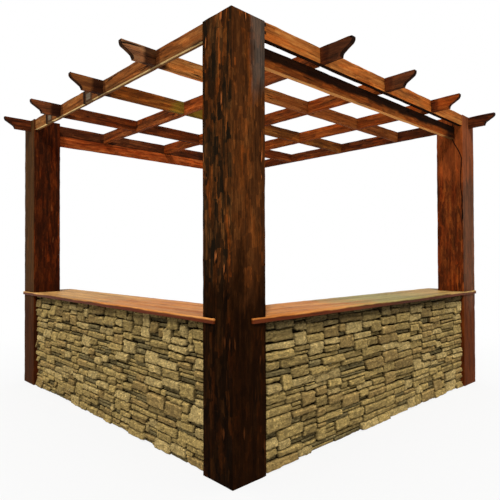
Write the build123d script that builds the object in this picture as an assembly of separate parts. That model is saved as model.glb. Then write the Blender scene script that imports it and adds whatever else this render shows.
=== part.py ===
from build123d import *
from math import cos, radians, sin, tan
import os

# Outdoor bar: a square open timber pergola over an L-shaped bar.
# Frame: X runs along the right-hand bar side, Y along the left-hand bar side and Z up.
# The near post's outer corner is at X = 0, Y = 0 while the parts are made. At the end
# everything is moved so that the origin lies on the ground under the middle of the
# bounding box. Lengths are millimetres.

# Overall plan and height, measured over the posts
side_x = 3736
side_y = 3705
height = 3030
post_size = 300
post_arris = 4

# Roof timbers: one rough-sawn section, and a deeper plate along the right-hand side
beam_thick = 45
beam_depth = 122
front_plate_depth = 137
tail_reach = 280
tail_nose = 12
ogee_radius = 42
ogee_turn = 60
tenon = 40
left_beam_setback = 14
right_beam_setback = 5
left_back_inset = 150
right_back_inset = 94
front_plate_inset = 92

# Places of the three inner rafters each way, from the near corner to their near faces
rafter_places = (900, 1812, 2696)
cross_rafter_places = (884, 1754, 2692)

# Bar counters
counter_top = 1051
counter_thick = 36
counter_inner = 560
nose_overhang = 16
nose_start = 165
nose_round = 6

# Knee walls, from the outside in
stone_setback = 22
stone_thick = 75
sheathing_thick = 18
stud_depth = 89
stud_thick = 38
lining_thick = 18
stud_count = 6

# Coarse courses of the ledgestone: long blocks, some proud and some set back
course_count = 11
ledge_length = 250
ledge_relief = 15
ledge_steps = 4

# Brackets that carry the counter's inner half
bracket_count = 3
bracket_thick = 45
bracket_leg = 45
bracket_reach = 280
bracket_drop = 300
bracket_toe = 20

# Heights and depths that follow from the above
beam_underside = height - beam_depth
lap_level = height - beam_depth / 2
counter_underside = counter_top - counter_thick
sheathing_face = stone_setback + stone_thick
stud_face = sheathing_face + sheathing_thick
lining_face = stud_face + stud_depth
wall_inner_face = lining_face + lining_thick
ogee_fall = beam_depth - tail_nose - 2 * ogee_radius * sin(radians(ogee_turn))
ogee_run = ogee_fall * tan(radians(ogee_turn)) + 2 * ogee_radius * (1 - cos(radians(ogee_turn)))
far_x = side_x - post_size
far_y = side_y - post_size
left_back_face = side_y - left_back_inset - beam_thick
right_back_face = side_x - right_back_inset - beam_thick
open_corner = Plane(origin=(0, 0, 0), z_dir=(1, -1, 0))


def block(x0, x1, y0, y1, z0, z1):
    """A squared piece between two corners."""
    centre = ((x0 + x1) / 2, (y0 + y1) / 2, (z0 + z1) / 2)
    return Pos(*centre) * Box(x1 - x0, y1 - y0, z1 - z0)


def swap(piece):
    """The same piece with its X and Y exchanged, for the sides that run along Y."""
    return mirror(piece, about=open_corner)


def timber(start, end, face, has_tail):
    """A roof timber along X, its near face at Y = face, with or without an ogee tail."""
    heel_x = start + ogee_run
    nose_low = height - tail_nose
    with BuildSketch(Plane.XZ.offset(-face)) as profile:
        with BuildLine():
            if has_tail:
                Polyline((start, nose_low), (start, height), (end, height),
                         (end, beam_underside), (heel_x, beam_underside))
                scoop = CenterArc((heel_x - ogee_radius, beam_underside), ogee_radius, 0, ogee_turn)
                belly = CenterArc((start + ogee_radius, nose_low), ogee_radius, 180, ogee_turn)
                Line(scoop @ 1, belly @ 1)
            else:
                Polyline((start, height), (end, height), (end, beam_underside),
                         (start, beam_underside), close=True)
        make_face()
    return extrude(profile.sketch, amount=-beam_thick)


def top_notch(at):
    """The upper half of a crossing timber's room, for a timber that runs along X."""
    return block(at, at + beam_thick, -height, 2 * height, lap_level, height)


def bottom_notch(at):
    """The lower half of a crossing timber's room, for a timber that runs along X."""
    return block(at, at + beam_thick, -height, 2 * height, beam_underside, lap_level)


def cut_all(piece, tools):
    """The piece with every tool cut out of it."""
    for tool in tools:
        piece = piece - tool
    return piece


def front_timber(run, setback):
    """The whole stick of a perimeter beam that is housed in the near post and a side post."""
    return timber(post_size - tenon, run - post_size + tenon, setback, False)


def rafter(end, place, above, below):
    """An inner timber with a tail, notched from above and from below at crossings."""
    piece = timber(-tail_reach, end, place, True)
    piece = cut_all(piece, [top_notch(at) for at in above])
    return cut_all(piece, [bottom_notch(at) for at in below])


def plate(run, face, depth):
    """A lower beam that the rafters rest on, housed into a post at each end."""
    return block(post_size - tenon, run - post_size + tenon, face, face + beam_thick,
                 beam_underside - depth, beam_underside)


def ledgestones(start, end):
    """A stone facing of stacked courses, whose blocks stand out by different amounts."""
    bed_face = stone_setback + ledge_relief
    course = counter_underside / course_count
    count = round((end - start) / ledge_length)
    step = (end - start) / count
    stones = []
    for row in range(course_count):
        offset = row % 2
        for number in range(count + offset):
            left = max(start, start + (number - offset / 2) * step)
            right = min(end, start + (number + 1 - offset / 2) * step)
            proud = ledge_relief * (1 + (2 * row + 3 * number) % ledge_steps) / ledge_steps
            stones.append(block(left, right, bed_face - proud, bed_face,
                                row * course, (row + 1) * course))
    return block(start, end, bed_face, sheathing_face, 0, counter_underside) + stones


def knee_wall(run):
    """The layers of a bar wall along X, from the stone to the inner lining."""
    end = run - post_size
    length = end - post_size
    stud_step = (length - stud_thick) / (stud_count - 1)
    studs = [block(post_size + i * stud_step, post_size + i * stud_step + stud_thick,
                   stud_face, lining_face, stud_thick, counter_underside - stud_thick)
             for i in range(stud_count)]
    return {
        "stone_facing": ledgestones(post_size, end),
        "sheathing": block(post_size, end, sheathing_face, stud_face, 0, counter_underside),
        "bottom_rail": block(post_size, end, stud_face, lining_face, 0, stud_thick),
        "top_rail": block(post_size, end, stud_face, lining_face,
                          counter_underside - stud_thick, counter_underside),
        "studs": Compound(children=studs),
        "lining": block(post_size, end, lining_face, wall_inner_face, 0, counter_underside),
        "brackets": Compound(children=wall_brackets(end, length)),
    }


def wall_brackets(end, length):
    """Curved timber brackets on the lining, under the counter's inner half."""
    tip = wall_inner_face + bracket_reach
    step = length / bracket_count
    curve = min(bracket_reach, bracket_drop) - bracket_leg - bracket_toe
    brackets = []
    for i in range(bracket_count):
        middle = end - (i + 0.5) * step
        with BuildSketch(Plane.YZ.offset(middle - bracket_thick / 2)) as outline:
            with BuildLine():
                low = counter_underside - bracket_drop
                leg_edge = wall_inner_face + bracket_leg
                arm_edge = counter_underside - bracket_leg
                Polyline((leg_edge, arm_edge - curve), (leg_edge, low), (wall_inner_face, low),
                         (wall_inner_face, counter_underside), (tip, counter_underside),
                         (tip, arm_edge), (leg_edge + curve, arm_edge))
                CenterArc((leg_edge + curve, arm_edge - curve), curve, 90, 90)
            make_face()
        brackets.append(extrude(outline.sketch, amount=bracket_thick))
    return brackets


def counter(run):
    """A bar top along X, notched round the posts and mitred at the inside corner."""
    with BuildSketch(Plane.XY.offset(counter_underside)) as plan:
        with BuildLine():
            Polyline((nose_start, -nose_overhang), (run, -nose_overhang), (run, 0),
                     (run - post_size, 0), (run - post_size, post_size), (run, post_size),
                     (run, counter_inner), (counter_inner, counter_inner),
                     (post_size, post_size), (post_size, 0), (nose_start, 0), close=True)
        make_face()
    slab = extrude(plan.sketch, amount=counter_thick)
    top_edges = slab.faces().sort_by(Axis.Z)[-1].edges()
    outer_edges = [edge for edge in top_edges if edge.center().Y < -nose_overhang / 2 - 1]
    return fillet(outer_edges, nose_round)


def post(x0, y0, housings):
    """A square post with eased arrises, housed out for the timbers that stand in it."""
    column = block(x0, x0 + post_size, y0, y0 + post_size, 0, height)
    column = chamfer(column.edges().filter_by(Axis.Z), post_arris)
    return cut_all(column, housings)


# The posts are cut out for whole timbers, so these sticks have no notches yet
left_front_stick = swap(front_timber(side_y, left_beam_setback))
right_front_stick = front_timber(side_x, right_beam_setback)
left_back_stick = timber(-tail_reach, side_x, left_back_face, True)
right_back_stick = swap(timber(-tail_reach, side_y, right_back_face, True))
front_plate = plate(side_x, front_plate_inset, front_plate_depth)
back_plate = plate(side_x, left_back_face, beam_depth)

# Beams are notched from above where a rafter or the other back beam crosses them
rafter_notches = [top_notch(at) for at in rafter_places]
cross_rafter_notches = [swap(top_notch(at)) for at in cross_rafter_places]
left_beam = cut_all(left_front_stick, cross_rafter_notches)
right_beam = cut_all(right_front_stick, rafter_notches)
left_back_beam = cut_all(left_back_stick, rafter_notches + [top_notch(right_back_face)])
far_lap = swap(bottom_notch(left_back_face))
right_back_beam = cut_all(right_back_stick, cross_rafter_notches + [far_lap])

parts = {
    "near_post": post(0, 0, [left_front_stick, right_front_stick, front_plate]),
    "left_post": post(0, far_y, [left_front_stick, left_back_stick, back_plate]),
    "right_post": post(far_x, 0, [right_front_stick, right_back_stick, front_plate]),
    "far_post": post(far_x, far_y, [left_back_stick, right_back_stick, back_plate]),
    "left_beam": left_beam,
    "right_beam": right_beam,
    "left_back_beam": left_back_beam,
    "right_back_beam": right_back_beam,
    "front_plate": front_plate,
    "back_plate": back_plate,
    "right_counter": counter(side_x),
    "left_counter": swap(counter(side_y)),
}

rafter_end = side_y - left_back_inset
cross_rafter_end = side_x - right_back_inset
rafter_laps = (right_beam_setback, left_back_face)
cross_rafter_laps = rafter_places + (left_beam_setback, right_back_face)
for number, place in enumerate(rafter_places, 1):
    parts[f"rafter_{number}"] = swap(rafter(rafter_end, place, cross_rafter_places, rafter_laps))
for number, place in enumerate(cross_rafter_places, 1):
    parts[f"cross_rafter_{number}"] = rafter(cross_rafter_end, place, (), cross_rafter_laps)

for name, piece in knee_wall(side_x).items():
    parts[f"right_{name}"] = piece
for name, piece in knee_wall(side_y).items():
    parts[f"left_{name}"] = swap(piece)

# The tails reach past the posts on two sides, so the box is wider than the posts
middle_x = (side_x - tail_reach) / 2
middle_y = (side_y - tail_reach) / 2
to_origin = Pos(-middle_x, -middle_y, 0)

os.makedirs("parts", exist_ok=True)
for name, piece in parts.items():
    export_step(to_origin * piece, f"parts/{name}.step")
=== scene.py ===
# %% [markdown]
# # An outdoor bar under a timber pergola
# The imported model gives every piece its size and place. This lesson gives the pieces their looks:
# rough-sawn timber with worn arrises, varnished counters of long boards, and knee walls clad with
# dry-stacked ledgestone. Nothing is moved or resized. Each new piece lies where its node lies.

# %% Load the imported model
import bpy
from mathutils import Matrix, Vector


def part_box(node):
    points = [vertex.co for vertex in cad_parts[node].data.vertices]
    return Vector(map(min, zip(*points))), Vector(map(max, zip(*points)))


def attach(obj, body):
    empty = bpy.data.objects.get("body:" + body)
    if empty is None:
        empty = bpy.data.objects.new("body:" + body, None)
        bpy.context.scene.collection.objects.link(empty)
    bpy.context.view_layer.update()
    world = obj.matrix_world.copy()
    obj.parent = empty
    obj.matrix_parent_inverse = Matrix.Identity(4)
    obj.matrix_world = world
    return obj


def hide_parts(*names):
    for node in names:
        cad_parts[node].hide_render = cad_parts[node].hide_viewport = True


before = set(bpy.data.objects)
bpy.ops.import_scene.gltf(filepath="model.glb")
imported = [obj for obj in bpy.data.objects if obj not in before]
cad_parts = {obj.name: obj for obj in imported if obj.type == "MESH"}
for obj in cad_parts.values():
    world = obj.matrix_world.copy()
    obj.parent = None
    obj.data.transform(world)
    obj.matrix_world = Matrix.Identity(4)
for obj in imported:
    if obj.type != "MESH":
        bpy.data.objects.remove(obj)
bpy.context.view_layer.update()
print("packed model:", len(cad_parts), "nodes")

# %% [markdown]
# ## Tools for the bench
# Operators act on all that is selected, so each helper clears the selection first. Lengths are
# metres, and a run is the axis that a timber lies along: 0 for X, 1 for Y and 2 for Z.

# %% Selection and edit mode
import math
import random

import bpy
from mathutils import Matrix, Vector

ALONG_X, ALONG_Y, UPRIGHT = 0, 1, 2
AXES = (Vector((1, 0, 0)), Vector((0, 1, 0)), Vector((0, 0, 1)))


def pick(*pieces):
    """Only these pieces are selected, and the first of them is active."""
    bpy.ops.object.select_all(action="DESELECT")
    for piece in pieces:
        piece.select_set(True)
    bpy.context.view_layer.objects.active = pieces[0]


def edit(piece):
    """Edit mode on one piece, with all of it selected."""
    pick(piece)
    bpy.ops.object.mode_set(mode="EDIT")
    bpy.ops.mesh.select_all(action="SELECT")


def leave_edit():
    """Back to object mode, in which the mesh can be read."""
    bpy.ops.object.mode_set(mode="OBJECT")


def select_faces(piece, test):
    """In edit mode, only the faces that pass the test are selected."""
    bpy.ops.mesh.select_all(action="DESELECT")
    bpy.ops.mesh.select_mode(type="FACE")
    leave_edit()
    for face in piece.data.polygons:
        face.select = test(face)
    bpy.ops.object.mode_set(mode="EDIT")


def apply_modifiers(piece):
    """Every modifier becomes part of the mesh, from the first to the last."""
    pick(piece)
    for modifier in list(piece.modifiers):
        bpy.ops.object.modifier_apply(modifier=modifier.name)


def join(name, pieces):
    """Several pieces become one mesh."""
    pick(*pieces)
    bpy.ops.object.join()
    pieces[0].name = name
    return pieces[0]


def extent(piece):
    """The lowest and highest corners of a piece."""
    corners = [[vertex.co[axis] for vertex in piece.data.vertices] for axis in range(3)]
    return Vector([min(c) for c in corners]), Vector([max(c) for c in corners])


def hand_over(piece, node, finish):
    """The piece stands for a node, takes its finish and moves with the whole."""
    piece.data.materials.clear()
    piece.data.materials.append(finish)
    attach(piece, "root")
    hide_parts(node)
    print(piece.name, len(piece.data.polygons), "faces")


print("grain can run along", ", ".join("XYZ"[run] for run in (ALONG_X, ALONG_Y, UPRIGHT)))

# %% [markdown]
# ## Writing a finish as sums
# A shader is a net of nodes. Here one small class wraps a socket, so that sums on it add the Math
# nodes, and one method makes every other node from its kind, its settings and its inputs.

# %% A socket that can be calculated with
class Value:
    """One socket of a shader. Sums on it add Math nodes."""

    def __init__(self, shader, socket):
        self.shader, self.socket = shader, socket

    def sum(self, operation, first, second):
        return self.shader.node("ShaderNodeMath", {"operation": operation}, {0: first, 1: second})

    def __add__(self, other):
        return self.sum("ADD", self, other)

    def __radd__(self, other):
        return self.sum("ADD", other, self)

    def __sub__(self, other):
        return self.sum("SUBTRACT", self, other)

    def __rsub__(self, other):
        return self.sum("SUBTRACT", other, self)

    def __mul__(self, other):
        return self.sum("MULTIPLY", self, other)

    def __rmul__(self, other):
        return self.sum("MULTIPLY", other, self)

    def __abs__(self):
        return self.sum("ABSOLUTE", self, 0.0)


print("sums on a socket make Math nodes")


# %% A material with one Principled shader
class Shader:
    """A material with one Principled shader, and the nodes that feed it."""

    def __init__(self, name):
        self.material = bpy.data.materials.new(name)
        self.material.use_nodes = True
        self.tree = self.material.node_tree
        self.surface = self.tree.nodes["Principled BSDF"]

    def node(self, kind, settings=None, inputs=None, output=0):
        """A node of any kind: settings first, then the values or links of its sockets."""
        made = self.tree.nodes.new(kind)
        for key, setting in (settings or {}).items():
            if key == "stops":
                self.set_stops(made.color_ramp, setting)
            else:
                setattr(made, key, setting)
        for key, value in (inputs or {}).items():
            self.feed(made.inputs[key], value)
        return Value(self, made.outputs[output])

    def set_stops(self, ramp, stops):
        """Gives a ramp its stops, each a position and a colour."""
        while len(ramp.elements) < len(stops):
            ramp.elements.new(1.0)
        for element, (position, colour) in zip(ramp.elements, stops):
            element.position = position
            element.color = colour

    def feed(self, socket, value):
        """Links a value to a socket, or sets the socket to a number or a colour."""
        if isinstance(value, Value):
            self.tree.links.new(value.socket, socket)
        else:
            socket.default_value = value

    def finish(self, **sockets):
        """Feeds the Principled shader. An underscore in a name stands for a space."""
        for name, value in sockets.items():
            self.feed(self.surface.inputs[name.replace("_", " ")], value)
        return self.material

    def place(self):
        """Where a point is on the object, in metres."""
        return self.node("ShaderNodeTexCoord", output="Object")

    def split(self, vector):
        """A vector's three parts, one value for each axis."""
        parts = self.node("ShaderNodeSeparateXYZ", inputs={0: vector})
        return [Value(self, output) for output in parts.socket.node.outputs]

    def facing(self):
        """Which way the surface faces, one value for each axis."""
        return self.split(self.node("ShaderNodeTexCoord", output="Normal"))

    def grey(self, light):
        """A grey as light as a value."""
        return self.node("ShaderNodeCombineColor", inputs={0: light, 1: light, 2: light})

    def stretch(self, vector, factors):
        """A pattern's place, multiplied on each axis. A factor below 1 draws the pattern out."""
        return self.node("ShaderNodeVectorMath", {"operation": "MULTIPLY"}, {0: vector, 1: factors})

    def noise(self, vector, scale, detail=2.0, roughness=0.5, distortion=0.0):
        """Soft noise round 0.5. The larger the scale, the finer its lumps."""
        inputs = {"Vector": vector, "Scale": scale, "Detail": detail,
                  "Roughness": roughness, "Distortion": distortion}
        return self.node("ShaderNodeTexNoise", inputs=inputs)

    def ramp(self, value, *stops):
        """A colour picked by a value."""
        return self.node("ShaderNodeValToRGB", {"stops": stops}, {0: value})

    def step(self, value, start, end):
        """Rises smoothly from 0 at start to 1 at end, or falls where start is the larger."""
        return self.node("ShaderNodeMapRange", {"interpolation_type": "SMOOTHSTEP"},
                         {"Value": value, "From Min": start, "From Max": end})

    def mix(self, share, first, second, blend="MIX"):
        """A share of the second colour over the first."""
        return self.node("ShaderNodeMix", {"data_type": "RGBA", "blend_type": blend},
                         {0: share, 6: first, 7: second}, output=2)

    def bump(self, height, strength, distance):
        """A normal that shows a height as relief, distance metres deep."""
        inputs = {"Height": height, "Strength": strength, "Distance": distance}
        return self.node("ShaderNodeBump", inputs=inputs)


def paint(red, green, blue):
    """A colour as a paint chart gives it, 0 to 255, turned into the light it throws back."""
    def light(part):
        part = part / 255
        return part / 12.92 if part <= 0.04045 else ((part + 0.055) / 1.055) ** 2.4
    return (light(red), light(green), light(blue), 1.0)


print("middle grey throws back", round(paint(128, 128, 128)[0], 3))


# %% [markdown]
# ## Camera, floor and light
# The camera stands at eye height off the near corner, where both bar sides run away from it. The
# floor glows for the camera only, less so near the bar, so that it looks white, keeps the bar's
# shadow and throws no more light on the wood. The light is one broad soft lamp from the front
# under a white sky.

# %% The camera at the near corner
post_low, post_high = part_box("near_post")
corner = Vector((post_low.x, post_low.y, 0.0))
camera_from_corner = Vector((-1.9819, -2.2508, 1.4528))
heading, upward, leaning = 0.8115, 0.0131, -0.0035
lens = 34.64

bpy.ops.object.camera_add(location=corner + camera_from_corner)
camera = bpy.context.object
turn = Matrix.Rotation(heading - math.pi / 2, 3, "Z")
tilt = Matrix.Rotation(math.pi / 2 + upward, 3, "X")
camera.rotation_euler = (turn @ tilt @ Matrix.Rotation(leaning, 3, "Z")).to_euler()
camera.data.lens = lens
camera.data.clip_end = 200
bpy.context.scene.camera = camera
print("camera", [round(value, 3) for value in camera.location])

# %% The floor
white = (1, 1, 1, 1)
pale_grey = (0.84, 0.84, 0.83, 1)
floor_width = 60.0
shadow_edge, glow_edge, least_glow = 2.6, 6.0, 0.78

floor_shader = Shader("pale_floor")
floor_shader.finish(Base_Color=pale_grey, Roughness=0.9, Specular_IOR_Level=0.0)
camera_looks = floor_shader.node("ShaderNodeLightPath", output="Is Camera Ray")
floor_glow = floor_shader.node("ShaderNodeEmission", inputs={"Color": white, "Strength": 1.0})
from_middle = floor_shader.node("ShaderNodeVectorMath", {"operation": "LENGTH"},
                                {0: floor_shader.place()}, output=1)
glow_share = floor_shader.step(from_middle, shadow_edge, glow_edge) * (1.0 - least_glow) + least_glow
plain_floor = Value(floor_shader, floor_shader.surface.outputs[0])
floor_mix = floor_shader.node("ShaderNodeMixShader", inputs={
    0: camera_looks * glow_share, 1: plain_floor, 2: floor_glow})
floor_shader.feed(floor_shader.tree.nodes["Material Output"].inputs["Surface"], floor_mix)

bpy.ops.mesh.primitive_plane_add(size=floor_width, location=(0, 0, 0))
floor = bpy.context.object
floor.name = "floor"
floor.data.materials.append(floor_shader.material)
print("floor", floor_width, "m wide")

# %% The sky and the lamp
sky_strength = 0.5
lamp_strength, lamp_spread = 2.4, math.radians(9)
lamp_height, lamp_heading = math.radians(46), heading - math.radians(4)

world = bpy.data.worlds.new("sky")
bpy.context.scene.world = world
world.use_nodes = True
sky_nodes, sky_links = world.node_tree.nodes, world.node_tree.links
sky = sky_nodes["Background"]
sky.inputs["Color"].default_value = white
ray = sky_nodes.new("ShaderNodeLightPath")
seen = sky_nodes.new("ShaderNodeMath")
seen.operation = "MULTIPLY_ADD"
seen.inputs[1].default_value = 1.0 - sky_strength
seen.inputs[2].default_value = sky_strength
sky_links.new(ray.outputs["Is Camera Ray"], seen.inputs[0])
sky_links.new(seen.outputs[0], sky.inputs["Strength"])

bpy.ops.object.light_add(type="SUN", location=(0, 0, 6))
lamp = bpy.context.object
lamp.data.energy = lamp_strength
lamp.data.angle = lamp_spread
lamp.rotation_euler = (math.pi / 2 - lamp_height, 0, lamp_heading - math.pi / 2)
bpy.context.scene.view_settings.view_transform = "Standard"
print("lamp", round(math.degrees(lamp_height)), "degrees up")

# %% [markdown]
# ## Rough-sawn timber
# A sawn stick isn't a perfect box: its faces wander by a millimetre or two, its arrises are worn
# round and chipped, and it shows checks where it has dried. The node has the right joints cut, so
# a merged copy of it is the blank. Rings are cut across it to give it points to move, its arrises
# are bevelled, and two Displace modifiers then wander its faces and chip its arrises. Sculpting
# would do it too, but can't be written down as a few numbers for sixteen sticks.

# %% A blank from a node
SAME_POINT = 0.00002
FLAT = math.radians(0.5)


def blank(node, name):
    """A merged copy of a node, its triangles dissolved back into whole faces."""
    piece = bpy.data.objects.new(name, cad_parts[node].data.copy())
    bpy.context.scene.collection.objects.link(piece)
    edit(piece)
    bpy.ops.mesh.remove_doubles(threshold=SAME_POINT)
    bpy.ops.mesh.dissolve_limited(angle_limit=FLAT)
    leave_edit()
    return piece


def cut_rings(piece, axis, spacing, rng):
    """Bisects the piece across an axis, at uneven steps."""
    low, high = extent(piece)
    at = low[axis] + spacing * rng.uniform(0.4, 1.0)
    edit(piece)
    while at < high[axis] - spacing * 0.3:
        bpy.ops.mesh.select_all(action="SELECT")
        bpy.ops.mesh.bisect(plane_co=AXES[axis] * at, plane_no=AXES[axis])
        at += spacing * rng.uniform(0.7, 1.3)
    leave_edit()


print("a blank can be cut from any node")


# %% From a blank to worn timber
def cloud(name, size):
    """A noise for Displace modifiers, its lumps of the given size in metres."""
    texture = bpy.data.textures.new(name, "CLOUDS")
    texture.noise_scale = size
    texture.noise_depth = 2
    return texture


wander_noise = cloud("wander", 0.35)
chip_noise = cloud("chip", 0.045)
BOTH_WAYS, MOSTLY_INWARDS = 0.5, 0.68
SHARP, BENT, SMOOTH = math.radians(35), math.radians(12), math.radians(28)


def mark_arrises(piece, least_angle):
    """A vertex group of the points where two faces meet at an angle."""
    normals = {}
    for face in piece.data.polygons:
        for index in face.vertices:
            normals.setdefault(index, []).append(face.normal.copy())
    group = piece.vertex_groups.new(name="arris")
    for index, found in normals.items():
        bend = max(found[0].angle(normal, 0.0) for normal in found)
        if bend > least_angle:
            group.add([index], 1.0, "REPLACE")


def displace(piece, name, texture, strength, middle, group=""):
    """Moves the points of a piece or of one group in and out by a noise."""
    push = piece.modifiers.new(name, "DISPLACE")
    push.texture = texture
    push.texture_coords = "LOCAL"
    push.strength = strength
    push.mid_level = middle
    push.vertex_group = group


def weather(piece, arris, wander=0.0, chip=0.0):
    """Bevels the arrises, then wanders the faces and chips the arrises."""
    bevel = piece.modifiers.new("arris", "BEVEL")
    bevel.width = arris
    bevel.segments = 2
    bevel.limit_method = "ANGLE"
    bevel.angle_limit = SHARP
    apply_modifiers(piece)
    mark_arrises(piece, BENT)
    if wander:
        displace(piece, "wander", wander_noise, wander, BOTH_WAYS)
    if chip:
        displace(piece, "chip", chip_noise, chip, MOSTLY_INWARDS, "arris")
    apply_modifiers(piece)
    piece.vertex_groups.clear()
    pick(piece)
    bpy.ops.object.shade_smooth_by_angle(angle=SMOOTH)


print("lumps of", wander_noise.noise_scale, "and", round(chip_noise.noise_scale, 3), "m")


# %% [markdown]
# ## The finish of the timber
# Grain is noise stretched along the run, in three widths: bands, lines and fibres. Small Voronoi
# cells are the flakes that a coarse saw leaves, and larger ones are patches where the stain soaked
# in dark or has worn to red. Nicks with a painted shadow beside them, patches of colour and drying
# cracks are laid over that, one by one. A face can have a colour of its own, which under the roof
# timbers is painted light and shade. A patch of colour can lie round a place on any axis: a real
# stain on some sticks, and painted shade on others, such as the shade where a rafter crosses a beam.

# %% A finish that knows its run
WARMER = (1.5, 1.0, 0.5, 1.0)
WORN_RED = (1.5, 1.05, 0.7, 1.0)


def along_run(run, factor):
    """Stretching factors that draw a pattern out along a run. A small factor draws it long."""
    return [factor if axis == run else 1.0 for axis in range(3)]


class Timber(Shader):
    """A wood finish in the making, with the colour that it has so far."""

    def __init__(self, name, run):
        super().__init__(name)
        self.run = run
        self.point = self.place()
        self.where, self.turned = self.split(self.point), self.facing()
        self.warmth = self.streaks(0.12, 12, detail=3.0, roughness=0.6, distortion=0.3)
        self.soaked = self.streaks(0.3, 9.5, detail=4.0, roughness=0.6, distortion=0.3)

    def streaks(self, factor, scale, **texture):
        """A noise drawn out along the run."""
        return self.noise(self.stretch(self.point, along_run(self.run, factor)), scale, **texture)

    def cells(self, vector, factor, scale):
        """Cells with square corners, each with three random values."""
        drawn = self.stretch(vector, along_run(self.run, factor))
        return self.split(self.node("ShaderNodeTexVoronoi", {"distance": "CHEBYCHEV"},
                                    {"Vector": drawn, "Scale": scale}, output="Color"))

    def lay(self, share, colour, blend="MIX"):
        """Lays one more colour over what is there."""
        self.colour = self.mix(share, self.colour, colour, blend)

    def grained(self, colour):
        """A colour of the paint chart with the grain showing through it."""
        return self.mix(1.0, paint(*colour), self.grain_light, "MULTIPLY")


print("a timber's grain can run along X, Y or Z")


# %% Grain, patches and faces
def lay_grain(timber, dark, middle, pale, flake, contrast, mottle):
    """Bands, lines, fibres and flakes make one tone round 0.5, which picks the colour."""
    bend = timber.streaks(0.3, 2.4) * 0.09
    pull = timber.node("ShaderNodeCombineXYZ", inputs={
        axis: 0.0 if axis == timber.run else bend for axis in range(3)})
    grain = timber.node("ShaderNodeVectorMath", {"operation": "ADD"}, {
        0: timber.stretch(timber.point, along_run(timber.run, 0.045)), 1: pull})
    band = timber.noise(grain, 13, detail=3.0, roughness=0.55, distortion=0.2)
    line = timber.noise(grain, 66, detail=5.0, roughness=0.75, distortion=0.2)
    fibre = timber.noise(grain, 330, detail=2.0, roughness=0.6)
    flakes = timber.cells(grain, 2.2, 40)[0]
    tone = band * (0.40 - flake * 0.3) + line * 0.40 + fibre * 0.20 + flakes * (flake * 0.3)
    if mottle:
        speckle = timber.streaks(0.4, 40, detail=5.0, roughness=0.75, distortion=0.4)
        tone = tone + (speckle - 0.5) * mottle
    tone = (tone - 0.5) * (2.6 * contrast) + 0.5
    timber.colour = timber.ramp(tone, (0.08, dark), (0.5, middle), (0.94, pale))
    timber.grain_light = timber.grey(tone + 0.5)
    return line, fibre, flakes


def lay_patches(timber, dark, blotch):
    """Patches where the stain soaked in dark, and others that have worn to red."""
    plates = timber.cells(timber.point, 0.34, 27)
    soot = timber.soaked * 0.62 + plates[1] * 0.2
    timber.lay(timber.step(soot, 0.42, 0.47) * blotch, dark)
    patch = plates[2] + (timber.warmth - 0.5) * 0.6
    timber.lay(timber.step(patch, 0.70, 0.73) * (blotch * 0.75), dark)
    timber.lay(timber.step(patch, 0.36, 0.33) * (blotch * 0.6), WORN_RED, "MULTIPLY")


def lay_face(timber, axis, colour, share):
    """The face that looks down an axis has a colour of its own, which under the roof timbers is painted
    light and shade.
    """
    looks_down = timber.step(timber.turned[axis], -0.6, -0.9)
    timber.lay(looks_down * share, timber.grained(colour))


print("grain, patches and faces can be laid")


# %% Nicks, stains, painted shade and cracks
def lay_nicks(timber, scratch):
    """Slanting nicks, each a pale scratch with a painted shadow beside it."""
    where, run = timber.where, timber.run
    across = where[(run + 1) % 3] + where[(run + 2) % 3] + (timber.soaked - 0.5) * 0.12
    # The first mark, dark and shifted off the pale one, is the scratch's painted shadow.
    for shift, colour in ((-0.010, paint(10, 6, 4)), (0.0, paint(176, 100, 50))):
        spot = timber.node("ShaderNodeCombineXYZ", inputs={
            0: across - shift, 1: where[run] * 0.18 - shift * 0.3})
        marks = timber.node("ShaderNodeTexVoronoi", {"voronoi_dimensions": "2D"}, {
            "Vector": spot, "Scale": 8.5}, output="Distance")
        nicked = timber.step(marks, 0.078, 0.03) * timber.step(timber.warmth, 0.46, 0.50)
        timber.lay(nicked * scratch, colour)


def lay_colour_patch(timber, colour, share, *places):
    """A patch of colour with a ragged edge, used for stains, painted shade and painted light alike.
    Each place is (axis, at, reach), and it lies where all meet.
    """
    ragged = (timber.soaked - 0.5) * 0.9
    for axis, at, reach in places:
        off = abs(timber.where[axis] - at) + ragged * reach
        share = timber.step(off, reach, reach * 0.65) * share
    timber.lay(share, timber.grained(colour))


def lay_cracks(timber, check):
    """Fine dark cracks along the grain, where the stick has dried."""
    seam = timber.streaks(0.03, 17, detail=2.0, roughness=0.5)
    cracks = timber.step(abs(seam - 0.5), 0.012, 0.004) * timber.step(timber.soaked, 0.46, 0.58)
    timber.lay(cracks * check, paint(12, 7, 4))
    return cracks


def lay_rift(timber, axis, at, top, drop):
    """One long drying crack, which leaves its line over the last drop below its top."""
    along = timber.where[timber.run]
    lean = timber.step(along, top - drop, top) * 0.1
    off_line = timber.where[axis] - at - lean + (timber.soaked - 0.5) * 0.05
    still_open = timber.step(along, top - 4.5 * drop, top - 3.5 * drop)
    timber.lay(timber.step(abs(off_line), 0.009, 0.004) * still_open, paint(10, 5, 3))


print("nicks, stains and cracks can be laid")


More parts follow.
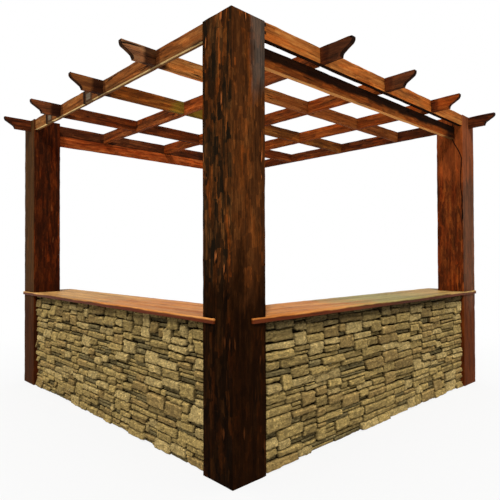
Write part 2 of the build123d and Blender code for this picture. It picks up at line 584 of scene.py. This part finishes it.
# %% A wood finish for any run
def wood(name, run, dark, middle, pale, faces=(), stains=(), rift=None, flake=0.3, contrast=1.0,
         blotch=0.3, scratch=0.0, check=0.5, ends=0.6, warm=0.5, mottle=0.0, rough=0.72, shine=0.03):
    """A stained timber. Its colours are from the paint chart, and a face is (axis, colour, share)."""
    dark, middle, pale = paint(*dark), paint(*middle), paint(*pale)
    timber = Timber(name, run)
    line, fibre, flakes = lay_grain(timber, dark, middle, pale, flake, contrast, mottle)
    timber.lay(timber.step(timber.warmth, 0.44, 0.62) * warm, WARMER, "MULTIPLY")
    lay_patches(timber, dark, blotch)
    for face in faces:
        lay_face(timber, *face)
    if scratch:
        lay_nicks(timber, scratch)
    # The patches are stains, and where a call gives them, painted shade and painted light.
    for stain in stains:
        lay_colour_patch(timber, *stain)
    cracks = lay_cracks(timber, check)
    if rift:
        lay_rift(timber, *rift)
    end_grain = timber.step(abs(timber.turned[run]), 0.25, 0.6)
    timber.lay(end_grain * ends, paint(24, 13, 8))
    saw = timber.streaks(9.0, 26, detail=1.0)
    height = line * 0.5 + fibre * 0.3 + flakes * (flake * 0.8) + saw * 0.2 - cracks * 1.2
    return timber.finish(Base_Color=timber.colour, Roughness=(line - 0.5) * 0.3 + rough,
                         Specular_IOR_Level=shine,
                         Normal=timber.bump(height, strength=0.6, distance=0.003))


print("wood finishes can be mixed")

# %% [markdown]
# ## Posts
# Each post is a heavy square timber, stained nearly black-brown in front and redder at the sides.
# One outer face of each has weathered to a colour of its own, the feet are darker, and one
# long drying crack runs down the right post. The posts carry the counters and house the beams, so
# their joints stay as the nodes have them.

# %% The finishes of the posts
GROUND = 0.0
plate_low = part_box("front_plate")[0]
# The posts darken towards the foot, the near post most of all.
darker_foot = (UPRIGHT, GROUND, 1.15)
side_post = {"flake": 0.6, "contrast": 0.8, "blotch": 0.42, "scratch": 0.2, "mottle": 0.4}
post_finishes = {
    "near_post": wood(
        "near_post_stain", UPRIGHT, (21, 16, 9), (68, 41, 18), (122, 74, 34),
        flake=0.4, contrast=1.15, warm=0.7, blotch=0.8, scratch=0.8, check=0.7, mottle=0.3, shine=0.01,
        faces=((ALONG_Y, (104, 54, 20), 0.3),),
        stains=(((74, 71, 64), 0.6, (ALONG_X, post_high.x, 0.14), (UPRIGHT, post_high.z, 0.6)),
                ((12, 4, 1), 0.85, (UPRIGHT, GROUND, 1.7)))),
    "left_post": wood(
        "left_post_stain", UPRIGHT, (28, 11, 4), (62, 24, 6), (108, 50, 16), **side_post,
        faces=((ALONG_X, (76, 51, 25), 0.75),),
        stains=(((56, 23, 4), 0.75, darker_foot),)),
    "right_post": wood(
        "right_post_stain", UPRIGHT, (40, 17, 6), (94, 42, 15), (146, 76, 28), **side_post,
        rift=(ALONG_Y, post_low.y + 0.014, plate_low.z + 0.019, 0.26),
        faces=((ALONG_Y, (98, 67, 48), 0.7),),
        stains=(((150, 72, 30), 0.4, (UPRIGHT, post_high.z - 0.13, 0.7)),
                ((82, 34, 5), 0.8, darker_foot))),
}
post_finishes["far_post"] = post_finishes["left_post"]
print("finishes for", ", ".join(post_finishes))

# %% Four posts
rng = random.Random(7)
ring_gap, face_gap = 0.06, 0.075
for node, finish in post_finishes.items():
    post = blank(node, node + "_timber")
    cut_rings(post, UPRIGHT, ring_gap, rng)
    for axis in (ALONG_X, ALONG_Y):
        cut_rings(post, axis, face_gap, rng)
    weather(post, arris=0.002, wander=0.004, chip=0.006)
    hand_over(post, node, finish)

# %% [markdown]
# ## Beams, plates and rafters
# The sticks of the roof are one section, but for the deeper front plate, and are half-lapped where
# they cross. The rafters have ogee tails. A finish is mixed for each run, because the grain follows
# the stick. Painted shade darkens the sticks where a rafter crosses a beam. The tails outside the
# beams have weathered, and those of the right rafters are also darkened with painted shade. The left
# beam carries two grey patches with a dark edge. Painted highlights pale the undersides of the left
# beam and the front plate. Painted shade darkens the underside of the right beam and two notches in
# it, and a painted shadow of the right beam lies along the top of the front plate, with painted shade
# at its end.

# %% The stains and painted shade of the roof
# Painted shade where a rafter crosses a beam.
crossing_shade = (44, 16, 8)
black_brown = (30, 18, 11)
# A painted highlight for the underside of the left beam.
painted_underside_light = (255, 220, 150)
left_beam_low, left_beam_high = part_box("left_beam")
right_beam_low, right_beam_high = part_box("right_beam")
plate_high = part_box("front_plate")[1]
plate_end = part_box("right_post")[0].x
cross_boxes = [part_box(f"cross_rafter_{number}") for number in (1, 2, 3)]
cross_joints = [(low.y + high.y) / 2 for low, high in cross_boxes]

# Colour, share, how far past the joint and its reach, how far above the underside and its reach
beam_patches = (((62, 44, 30), 0.8, 0.285, 0.11, 0.042, 0.09),
                ((116, 104, 86), 0.8, 0.275, 0.05, 0.050, 0.035),
                (black_brown, 0.9, 0.36, 0.026, 0.042, 0.09))
# Painted shade on the left beam where each cross rafter crosses it.
left_beam_stains = [(crossing_shade, 0.6, (ALONG_Y, joint, 0.085)) for joint in cross_joints]
for joint in cross_joints[1:]:
    for colour, share, past, length, above, height in beam_patches:
        left_beam_stains.append((colour, share, (ALONG_Y, joint + past, length),
                                 (UPRIGHT, left_beam_low.z + above, height)))
left_beam_stains.append(((104, 60, 28), 0.95, (ALONG_X, left_beam_high.x, 0.031)))
# Painted shade standing for two notches where the right beam meets the near post.
right_beam_notch_shade = [(black_brown, 0.95, (ALONG_X, post_high.x, 0.024),
                     (UPRIGHT, right_beam_high.z - fall, 0.014)) for fall in (0.018, 0.075)]
# Painted shade on the front plate: the shadow of the right beam along its top, and shade at its end by
# the right post.
plate_stains = (((24, 14, 8), 0.95, (UPRIGHT, plate_high.z, 0.095)),
                (black_brown, 0.8, (ALONG_X, plate_end, 0.22)))

left_tails = (ALONG_X, left_beam_low.x - 0.32, 0.34)
right_tails = (ALONG_Y, right_beam_low.y - 0.32, 0.34)
outer_left = ((106, 62, 34), 0.5, left_tails)
# The right tails are darker, partly weathered grey and partly painted shade.
right_tails_weather_and_shade = ((54, 35, 23), 0.7, right_tails)
# Painted shade on the rafters where they cross the beams.
left_crossing_shade = ((38, 15, 7), 0.9, (ALONG_X, left_beam_low.x - 0.01, 0.115))
right_crossing_shade = (crossing_shade, 0.6, (ALONG_Y, right_beam_low.y - 0.01, 0.075))
lichen = ((116, 104, 28), 0.5, (ALONG_X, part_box("rafter_1")[1].x + 0.083, 0.30))
far_rust = ((110, 50, 16), 0.75, (ALONG_X, cross_boxes[0][1].x - 0.014, 3.0))
grey_tail = ((104, 80, 62), 0.6, left_tails)
print(len(left_beam_stains), "stains on the left beam")


# %% The finishes of the roof
def roof_wood(name, run, *colours, **extras):
    """A roof stick: strong grain, open checks and dark ends, unless the call says otherwise."""
    return wood(name, run, *colours, **{"contrast": 1.25, "check": 0.8, "ends": 0.9} | extras)


# Most roof finishes hold painted shade, and those of the left beam and the front plate painted
# highlights too.
sticks = {
    "left_beam": (ALONG_Y, "beam_wood", roof_wood(
        "left_beam_stain_and_painted_light", ALONG_Y, (56, 30, 14), (126, 78, 38), (172, 122, 70), blotch=0.25, check=0.9,
        # The pale underside of the left beam is a painted highlight.
        faces=((UPRIGHT, painted_underside_light, 0.9),), stains=left_beam_stains)),
    "right_beam": (ALONG_X, "beam_wood", roof_wood(
        "right_beam_stain_and_painted_shade", ALONG_X, (96, 50, 18), (168, 98, 42), (204, 142, 74), blotch=0.15,
        # The near-black underside of the right beam is painted shade.
        faces=((UPRIGHT, (34, 17, 8), 1.0),), stains=right_beam_notch_shade)),
    "front_plate": (ALONG_X, "beam_wood", roof_wood(
        "front_plate_stain_and_painted_light", ALONG_X, (70, 32, 12), (140, 72, 26), (184, 108, 44), blotch=0.4,
        # The pale underside of the front plate is a painted highlight.
        faces=((UPRIGHT, (222, 158, 88), 0.7),), stains=plate_stains)),
    "back_plate": (ALONG_X, "beam_wood", roof_wood(
        "back_plate_stain", ALONG_X, (80, 28, 8), (146, 66, 24), (196, 112, 54))),
    "left_back_beam": (ALONG_X, "rafter_wood", roof_wood(
        "left_back_stain", ALONG_X, (28, 12, 6), (76, 36, 16), (122, 66, 32))),
    "right_back_beam": (ALONG_Y, "rafter_wood", roof_wood(
        "right_back_stain", ALONG_Y, (26, 12, 7), (80, 36, 14), (130, 70, 30))),
    "rafter_1": (ALONG_Y, "rafter_wood", roof_wood(
        "rafter_1_stain_and_painted_shade", ALONG_Y, (50, 22, 9), (124, 62, 25), (170, 98, 48),
        stains=(right_tails_weather_and_shade, right_crossing_shade))),
    "rafter_2": (ALONG_Y, "rafter_wood", roof_wood(
        "rafter_2_stain_and_painted_shade", ALONG_Y, (50, 22, 9), (122, 58, 20), (168, 94, 40),
        stains=(right_tails_weather_and_shade, right_crossing_shade))),
    "rafter_3": (ALONG_Y, "rafter_wood", roof_wood(
        "rafter_3_stain_and_painted_shade", ALONG_Y, (56, 24, 8), (122, 56, 18), (164, 90, 36), stains=(right_crossing_shade,))),
    "cross_rafter_1": (ALONG_X, "rafter_wood", roof_wood(
        "cross_1_stain_and_painted_shade", ALONG_X, (74, 40, 16), (174, 110, 52), (216, 156, 92), check=1.0,
        stains=(far_rust, grey_tail, left_crossing_shade))),
    "cross_rafter_2": (ALONG_X, "rafter_wood", roof_wood(
        "cross_2_stain_and_painted_shade", ALONG_X, (44, 22, 8), (106, 58, 20), (150, 98, 42),
        stains=(lichen, outer_left, left_crossing_shade))),
    "cross_rafter_3": (ALONG_X, "rafter_wood", roof_wood(
        "cross_3_stain_and_painted_shade", ALONG_X, (40, 17, 7), (92, 42, 15), (136, 74, 32), check=0.7,
        stains=(outer_left, left_crossing_shade))),
}
print(len(sticks), "sticks to weather")

# %% The sticks of the roof
stick_gap = 0.09
for node, (run, slot, finish) in sticks.items():
    stick = blank(node, node + "_timber")
    cut_rings(stick, run, stick_gap, rng)
    weather(stick, arris=0.0025, wander=0.003, chip=0.008)
    hand_over(stick, node, finish)

# %% [markdown]
# ## Counters
# Each bar top is made of four long boards with a fine joint between them, varnished to a gloss.
# Ripping copies of the node into strips with bisect keeps its notches and its mitred corner. The
# varnish pales towards the far ends in a painted reflection of the white sky, and the nose has
# painted shade along its lower part.

# %% Ripping a slab into boards
def rip(node, name, axis, count, joint):
    """A node cut into boards side by side across an axis, with a fine open joint between."""
    low, high = extent(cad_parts[node])
    width = (high[axis] - low[axis]) / count
    boards = []
    for number in range(count):
        board = blank(node, name)
        edit(board)
        sides = ((low[axis] + number * width + joint / 2, True, number > 0),
                 (low[axis] + (number + 1) * width - joint / 2, False, number < count - 1))
        for place, inner, wanted in sides:
            if wanted:
                bpy.ops.mesh.select_all(action="SELECT")
                bpy.ops.mesh.bisect(plane_co=AXES[axis] * place, plane_no=AXES[axis], use_fill=True,
                                    clear_inner=inner, clear_outer=not inner)
        leave_edit()
        boards.append(board)
    return boards


print("a slab can be ripped")

# %% The varnish of the counters
counter_low, counter_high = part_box("right_counter")
far_end = counter_high.x  # the left counter ends nearly as far out along Y
green_middle = 0.4
# Painted shade on the lower part of the nose, below its rounded arris.
nose_shade = ((80, 24, 6), 0.95, (UPRIGHT, counter_low.z, 0.034))


def varnish(name, run, *stains):
    """Boards under a gloss, with the patches that the call gives and painted shade on the lower part of
    the nose.
    """
    return wood(name, run, (158, 88, 34), (206, 131, 62), (228, 166, 98), flake=0.1, contrast=1.7,
                blotch=0.1, check=0.1, ends=0.0, warm=0.1, rough=0.4, shine=0.04,
                stains=(*stains, nose_shade))


# Both counters pale towards their far ends: a painted reflection of the white sky in the varnish at a
# low angle.
varnish_with_painted_light_x = varnish("varnish_with_painted_light_x", ALONG_X,
                    ((184, 156, 94), 0.8, (ALONG_X, far_end, 2.6)),
                    ((126, 146, 90), 0.25, (ALONG_X, green_middle, 0.9)),
                    ((126, 150, 96), 0.25, (ALONG_X, green_middle, 0.45)))
varnish_with_painted_light_y = varnish("varnish_with_painted_light_y", ALONG_Y, ((206, 164, 100), 0.65, (ALONG_Y, far_end, 2.2)))
print("varnish fades towards", round(far_end, 3), "m")

# %% Both counters
board_count, board_joint, board_gap = 4, 0.0012, 0.07
for node, across, run, finish in (("right_counter", ALONG_Y, ALONG_X, varnish_with_painted_light_x),
                                  ("left_counter", ALONG_X, ALONG_Y, varnish_with_painted_light_y)):
    boards = rip(node, node + "_boards", across, board_count, board_joint)
    for board in boards:
        cut_rings(board, run, board_gap, rng)
        weather(board, arris=0.002, wander=0.003, chip=0.005)
    hand_over(join(node + "_boards", boards), node, finish)

# %% [markdown]
# ## Ledgestone
# The knee walls are clad with thin quarry stones, dry-stacked. A waller takes the lowest gap, finds
# a stone for it and levels up with the neighbour where that is close. The same rule fills the wall
# here. One master stone is modelled and copied. It stretches like a frame, so that its rounded
# rim keeps its width on a long stone and on a chip alike.

# %% Three kinds of stone
STONE_KINDS = {
    "sliver": {"tall": (0.024, 0.034), "long": (0.3, 1.0), "proud": (-0.024, -0.008)},
    "ledge": {"tall": (0.048, 0.074), "long": (0.4, 1.0), "proud": (-0.012, 0.010)},
    "block": {"tall": (0.080, 0.115), "long": (0.4, 0.8), "proud": (-0.010, 0.006)},
}
HAIR = 0.001  # shorter than this is nothing
LEAST_STEP = 0.020  # a smaller step to the neighbour is levelled up
TOP_BAND, TOP_USUAL = 0.24, (0.15, 0.25, 0.6)  # more blocks near the top of the wall
print("stones:", ", ".join(STONE_KINDS), "- tall is in metres, long is a share of the longest")


# %% Laying the courses
NO_REST = 1.35  # a gap shorter than this many stones would leave a rest too small to fill
CAN_REACH = 1.2  # one stone fills a gap up to this many times its longest
HALVES = (0.4, 0.6)


def level_up(sky_line):
    """Neighbours of the sky line that stand equally high become one."""
    merged = [sky_line[0]]
    for piece in sky_line[1:]:
        if abs(piece[2] - merged[-1][2]) < HAIR / 2:
            merged[-1][1] = piece[1]
        else:
            merged.append(piece)
    return merged


def neighbour_tops(sky_line, lowest, left, right):
    """How high the sky line stands beside the lowest gap, on the sides that a stone will touch."""
    tops = []
    if left and lowest > 0:
        tops.append(sky_line[lowest - 1][2])
    if right and lowest < len(sky_line) - 1:
        tops.append(sky_line[lowest + 1][2])
    return tops


def lay_stones(length, height, longest, usual, rng):
    """Rectangles (start, end, bottom, top, kind) that fill a wall face, laid lowest gap first."""
    sky_line = [[0.0, length, 0.0]]
    stones = []
    while True:
        lowest = min(range(len(sky_line)), key=lambda index: sky_line[index][2])
        start, end, level = sky_line[lowest]
        if level > height - HAIR:
            return stones
        room = end - start
        weights = TOP_USUAL if level > height - TOP_BAND else usual
        kind = rng.choices(list(STONE_KINDS), weights=weights)[0]
        short, long = (longest * share for share in STONE_KINDS[kind]["long"])
        tall = rng.uniform(*STONE_KINDS[kind]["tall"])
        wide = rng.uniform(short, long)
        if room < wide * NO_REST:
            wide = room if room < long * CAN_REACH else room * rng.uniform(*HALVES)
        from_left = rng.random() < 0.5
        fills = wide == room
        for top in neighbour_tops(sky_line, lowest, from_left or fills, not from_left or fills):
            if abs(level + tall - top) < LEAST_STEP:
                tall = top - level
        if height - level - tall < LEAST_STEP:
            tall = height - level
        first = start if from_left else end - wide
        last = first + wide
        stones.append((first, last, level, level + tall, kind))
        pieces = [[start, first, level], [first, last, level + tall], [last, end, level]]
        sky_line[lowest:lowest + 1] = [piece for piece in pieces if piece[1] - piece[0] > HAIR]
        sky_line = level_up(sky_line)


print("stones can be laid, lowest gap first")

# %% [markdown]
# A grid is the start of the master, because its rows and columns can be moved one by one. It is
# extruded back into the wall, and its back is dissolved into one face, since nobody sees it. A cube
# with a bevel would be quicker, but has no points on its face for the quarry's rough surface.

# %% The master stone
HALF = 4.0  # half its side, in facets
RIM = 3.0  # where its rim starts, in facets from the middle
# Painted light in the points of the master: a painted highlight on the top arris, painted shade on the
# bottom arris and at the ends.
ROW_LIGHT = {4: 1.3, 3: 1.95, -3: 0.84, -4: 0.42}
END_LIGHT = 0.42


def master_stone():
    """A stone with its face towards -Y, in 8 by 8 facets. The outermost facets are its rim."""
    facets = int(2 * HALF)
    bpy.ops.object.select_all(action="DESELECT")
    bpy.ops.mesh.primitive_grid_add(x_subdivisions=facets, y_subdivisions=facets, size=2 * HALF,
                                    rotation=(math.pi / 2, 0, 0))
    stone = bpy.context.object
    bpy.ops.object.transform_apply(location=True, rotation=True, scale=True)
    edit(stone)
    bpy.ops.mesh.extrude_region_move(TRANSFORM_OT_translate={"value": (0, 1, 0)})
    select_faces(stone, lambda face: face.center.y > 0.9)
    bpy.ops.mesh.dissolve_limited(angle_limit=0.1)
    bpy.ops.mesh.select_all(action="SELECT")
    bpy.ops.mesh.normals_make_consistent(inside=False)
    leave_edit()
    return stone


stone_master = master_stone()
print("master stone", len(stone_master.data.polygons), "faces")


def on_rim(value):
    """Whether a point lies on the outermost row or column of the master."""
    return abs(value) > RIM + 0.5


def painted_rim_light(x, z):
    """How light a point of the master is painted: a painted highlight on the top arris, painted shade
    on the bottom arris and where it turns into a joint.
    """
    return ROW_LIGHT.get(round(z), 1.0) * (END_LIGHT if on_rim(x) else 1.0)


def stretch_side(value, half, round_off):
    """Maps the master's 0 to 4 on to a real half-length, keeping the rim's width."""
    reach = abs(value)
    if reach <= RIM + 0.01:
        real = reach / RIM * (half - round_off)
    else:
        real = half - round_off + (reach - RIM) / (HALF - RIM) * round_off
    return math.copysign(real, value)


# %% [markdown]
# No two quarried stones are alike. Each copy of the master gets its own joint and rim, a slant, a
# taper, a lean of its face and a rough surface. Its points carry a tint with painted light in it: a
# painted highlight on the top arris, painted shade on the bottom arris, at the ends and on the sides
# in the joints, and a darker painted shade on recessed stones.

# %% What sets one stone apart
END_SLACK = 0.022
GAP_BESIDE, GAP_ABOVE = (0.002, 0.007), (0.0012, 0.0042)
RIM_WIDTH = (0.007, 0.013)
SLANT, TAPER, LEAN = (-0.06, 0.06), (-0.15, 0.15), (-0.12, 0.36)
SHADE = (1.34, 1.74)
MOST_ROUGH, MOST_PROUD = 0.0055, 0.018
# BACK_LIGHT is painted shade: the sides of a stone darken towards its back, deep in the joint.
BRIGHTEST, BACK_LIGHT = 0.86, 0.2


class Stone:
    """The measures of one stone in the wall's own frame: X along the wall, -Y out of it, Z up."""

    def __init__(self, place, wall_end, rng, tints):
        start, end, bottom, top, kind = place
        start += rng.uniform(0.0, END_SLACK) if start < HAIR else 0.0
        end -= rng.uniform(0.0, END_SLACK) if end > wall_end - HAIR else 0.0
        self.half_x = (end - start) / 2 - rng.uniform(*GAP_BESIDE)
        self.half_z = (top - bottom) / 2 - rng.uniform(*GAP_ABOVE)
        self.rim = min(rng.uniform(*RIM_WIDTH), self.half_z * 0.42)
        self.rough = min(MOST_ROUGH, self.half_z * 0.15)
        self.middle_x, self.middle_z = (start + end) / 2, (bottom + top) / 2
        self.proud = {name: rng.uniform(*sizes["proud"]) for name, sizes in STONE_KINDS.items()}[kind]
        self.slant, self.taper = rng.uniform(*SLANT), rng.uniform(*TAPER)
        self.lean = rng.uniform(*LEAN)
        self.tint = rng.choice(tints[:2] if kind == "sliver" else tints[1:])[:3]
        # A recessed stone is painted darker, as painted shade in its recess.
        self.shade = rng.uniform(*SHADE) * (1.0 + self.proud * 14)

    def outline(self, x, z):
        """Where a point of the master comes to lie round the stone's middle, corners worn off."""
        real_x, real_z = stretch_side(x, self.half_x, self.rim), stretch_side(z, self.half_z, self.rim)
        real_z *= 1.0 - abs(self.taper) - self.taper * x / HALF
        if on_rim(x) and on_rim(z):
            real_x -= math.copysign(self.rim * 0.5, x)
            real_z -= math.copysign(self.rim * 0.3, z)
        return real_x, real_z

    def point(self, x, y, z, back, rng):
        """The place of one point of the master on this stone, and how light it is painted there."""
        real_x, real_z = self.outline(x, z)
        if y < 0.5:
            depth = -self.proud + (self.rim if on_rim(x) or on_rim(z) else 0.0) + real_z * self.lean
            depth = max(depth + rng.uniform(-self.rough, self.rough), -MOST_PROUD)
            real_x += rng.uniform(-1.4, 1.4) * min(self.rough, self.half_x * 0.06)
            real_z += rng.uniform(-0.9, 0.9) * self.rough
            light = self.shade * painted_rim_light(x, z) * rng.uniform(0.9, 1.1)
        else:
            depth, light = back, BACK_LIGHT
        if abs(x) > RIM - 0.5:
            real_x += real_z * self.slant * 3
        real_z += real_x * self.slant * 0.35
        return self.middle_x + real_x, depth, self.middle_z + real_z, light


print("joints of", *[round(2000 * gap, 1) for gap in GAP_BESIDE], "mm between stones, least and most")


# %% Setting every stone
def set_stone(place, wall_end, wall_top, rng, back, tints):
    """A copy of the master shaped as one stone, kept inside the wall's ends and top."""
    stone = Stone(place, wall_end, rng, tints)
    piece = stone_master.copy()
    piece.data = stone_master.data.copy()
    bpy.context.scene.collection.objects.link(piece)
    colours = []
    for vertex in piece.data.vertices:
        along, depth, up, light = stone.point(*vertex.co, back, rng)
        vertex.co = (min(max(along, 0.0), wall_end), depth, min(max(up, 0.0), wall_top))
        light = min(light, BRIGHTEST / max(stone.tint))
        colours += [part * light for part in stone.tint] + [1.0]
    # The tint of the points carries the painted highlight and painted shade of the rim.
    layer = piece.data.color_attributes.new("stone_tint", "FLOAT_COLOR", "POINT")
    layer.data.foreach_set("color", colours)
    return piece


print("a stone can be set")

# %% [markdown]
# The stone's tint, with its painted highlight and painted shade, comes from its points. Over it the
# shader lays bedding, which is noise squeezed along Z, then lumps, grit and creases, a little rust,
# and a painted shadow of the counter just under it.

# %% The finish of the stone
def stone_finish(name, counter_underside, painted_shadow_share):
    """Quarry stone, with a painted shadow that darkens it just under the counter."""
    shader = Shader(name)
    place = shader.place()
    tint = shader.node("ShaderNodeAttribute", {"attribute_name": "stone_tint"}, output="Color")
    layered = shader.stretch(place, (1.0, 1.0, 5.0))
    bedding = shader.noise(layered, 15, detail=4.0, roughness=0.6, distortion=0.4)
    mottle = shader.noise(place, 42, detail=5.0, roughness=0.65)
    grit = shader.noise(place, 210, detail=3.0, roughness=0.6)
    lump = shader.noise(place, 24, detail=3.0, roughness=0.6)
    light = (bedding * 0.3 + lump * 0.3 + mottle * 0.3 + grit * 0.1 - 0.5) * 3.6 + 1.0
    colour = shader.mix(1.0, tint, shader.grey(light), "MULTIPLY")
    rust = shader.step(shader.noise(place, 4.5, detail=4.0, roughness=0.6), 0.56, 0.72) * 0.25
    colour = shader.mix(rust, colour, paint(122, 92, 50))
    # A painted shadow of the counter's overhang darkens the top stones.
    height = shader.split(place)[2] + mottle * 0.06
    counter_shadow = shader.step(height, counter_underside - 0.13, counter_underside) * painted_shadow_share
    colour = shader.mix(counter_shadow, colour, paint(34, 25, 14))
    crease = shader.step(abs(mottle - 0.5), 0.0, 0.05) * shader.step(lump, 0.42, 0.54)
    colour = shader.mix(0.3 - crease * 0.3, colour, paint(70, 58, 34))
    relief = bedding * 0.7 + lump + crease * 0.16 + mottle * 1.1 + grit * 0.4
    return shader.finish(Base_Color=colour, Roughness=0.92, Specular_IOR_Level=0.1,
                         Normal=shader.bump(relief, strength=1.0, distance=0.034))


stone_tints = (paint(128, 112, 72), paint(172, 146, 88), paint(154, 130, 78), paint(188, 162, 104),
               paint(150, 124, 74))
# The joint is painted shade: a near-black bed where the gaps between the stones are in deep shade.
joint_shader = Shader("painted_joint_shade")
joint_grit = joint_shader.noise(joint_shader.place(), 120, detail=4.0, roughness=0.6)
joint_shade_colour = joint_shader.ramp(joint_grit, (0.3, paint(12, 9, 5)), (0.7, paint(34, 27, 17)))
painted_joint_shade = joint_shader.finish(Base_Color=joint_shade_colour, Roughness=0.95, Specular_IOR_Level=0.0,
                                 Normal=joint_shader.bump(joint_grit, strength=0.8, distance=0.004))
print(len(stone_tints), "tints of stone on a dark joint")

# %% [markdown]
# Behind the stones lies a dark bed, painted near black as the shade deep in the joints of a
# dry-stacked wall.
# Each wall is laid along X, then turned and moved to its node.

# %% Both clad walls
stone_back = 0.045
bed_face = 0.7 * stone_back


def bed_behind(name, length, thickness, height):
    """The bed of a wall, painted dark as the shade in the joints. The backs of the stones lie a little
    way in it.
    """
    bpy.ops.object.select_all(action="DESELECT")
    bpy.ops.mesh.primitive_cube_add(size=1)
    bed = bpy.context.object
    bed.name = name + "_bed"
    bed.scale = (length, thickness - bed_face, height)
    bed.location = (length / 2, (thickness + bed_face) / 2, height / 2)
    bpy.ops.object.transform_apply(location=True, rotation=True, scale=True)
    return bed


def clad_wall(node, name, turn, longest, usual, seed):
    """The stones of one facing with the dark bed behind them, moved to the node's place."""
    low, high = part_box(node)
    size = high - low
    length, thickness = max(size.x, size.y), min(size.x, size.y)
    rng = random.Random(seed)
    stones = [set_stone(place, length, size.z, rng, stone_back, stone_tints)
              for place in lay_stones(length, size.z, longest, usual, rng)]
    print(name, len(stones), "stones")
    wall = join(name, stones)
    bed = bed_behind(name, length, thickness, size.z)
    start = Vector((low.x, low.y if turn == 0 else high.y, 0))
    for piece in (wall, bed):
        piece.data.transform(Matrix.Translation(start) @ Matrix.Rotation(turn, 4, "Z"))
    return wall, bed


walls = {
    "right": {"turn": 0.0, "longest": 0.36, "usual": (0.25, 0.65, 0.1), "seed": 11},
    "left": {"turn": -math.pi / 2, "longest": 0.28, "usual": (0.38, 0.48, 0.14), "seed": 23},
}
# How strong the painted shadow of the counter is on each wall.
under_counter_shadow = {"right": 0.75, "left": 0.4}
for side, lay in walls.items():
    node = side + "_stone_facing"
    ledgestone = stone_finish("ledgestone_" + side, counter_low.z, under_counter_shadow[side])
    wall, bed = clad_wall(node, side + "_ledgestones", **lay)
    hand_over(wall, node, ledgestone)
    hand_over(bed, node, painted_joint_shade)
bpy.data.objects.remove(stone_master)

# %% [markdown]
# ## Boards and framing behind the stone
# From the open sides the bar shows its lining of upright boards, and the brackets under the
# counters. The lining is ripped like the counters. The framing keeps its nodes' shapes, because
# most of it is closed in between the boards, and only takes a finish.

# %% Lining boards and framing
lining_boards, lining_joint = 24, 0.001
lining_arris = 0.003
stained_board = ((70, 36, 18), (128, 76, 40), (168, 110, 64))
sawn_softwood = ((96, 60, 32), (158, 112, 66), (196, 152, 98))
board_upright = wood("lining_boards", UPRIGHT, *stained_board)
frame_upright = wood("framing_upright", UPRIGHT, *sawn_softwood)
frame_x = wood("framing_x", ALONG_X, *sawn_softwood)
frame_y = wood("framing_y", ALONG_Y, *sawn_softwood)
for side, across, rail_finish in (("right", ALONG_X, frame_x), ("left", ALONG_Y, frame_y)):
    node = side + "_lining"
    boards = rip(node, node + "_boards", across, lining_boards, lining_joint)
    for board in boards:
        weather(board, arris=lining_arris)
    hand_over(join(node + "_boards", boards), node, board_upright)
    framing = {"bottom_rail": rail_finish, "top_rail": rail_finish, "studs": frame_upright,
               "sheathing": board_upright, "brackets": frame_upright}
    for part, finish in framing.items():
        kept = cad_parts[f"{side}_{part}"]
        kept.data.materials.clear()
        kept.data.materials.append(finish)
    print(side, "framing takes its finish:", ", ".join(framing))
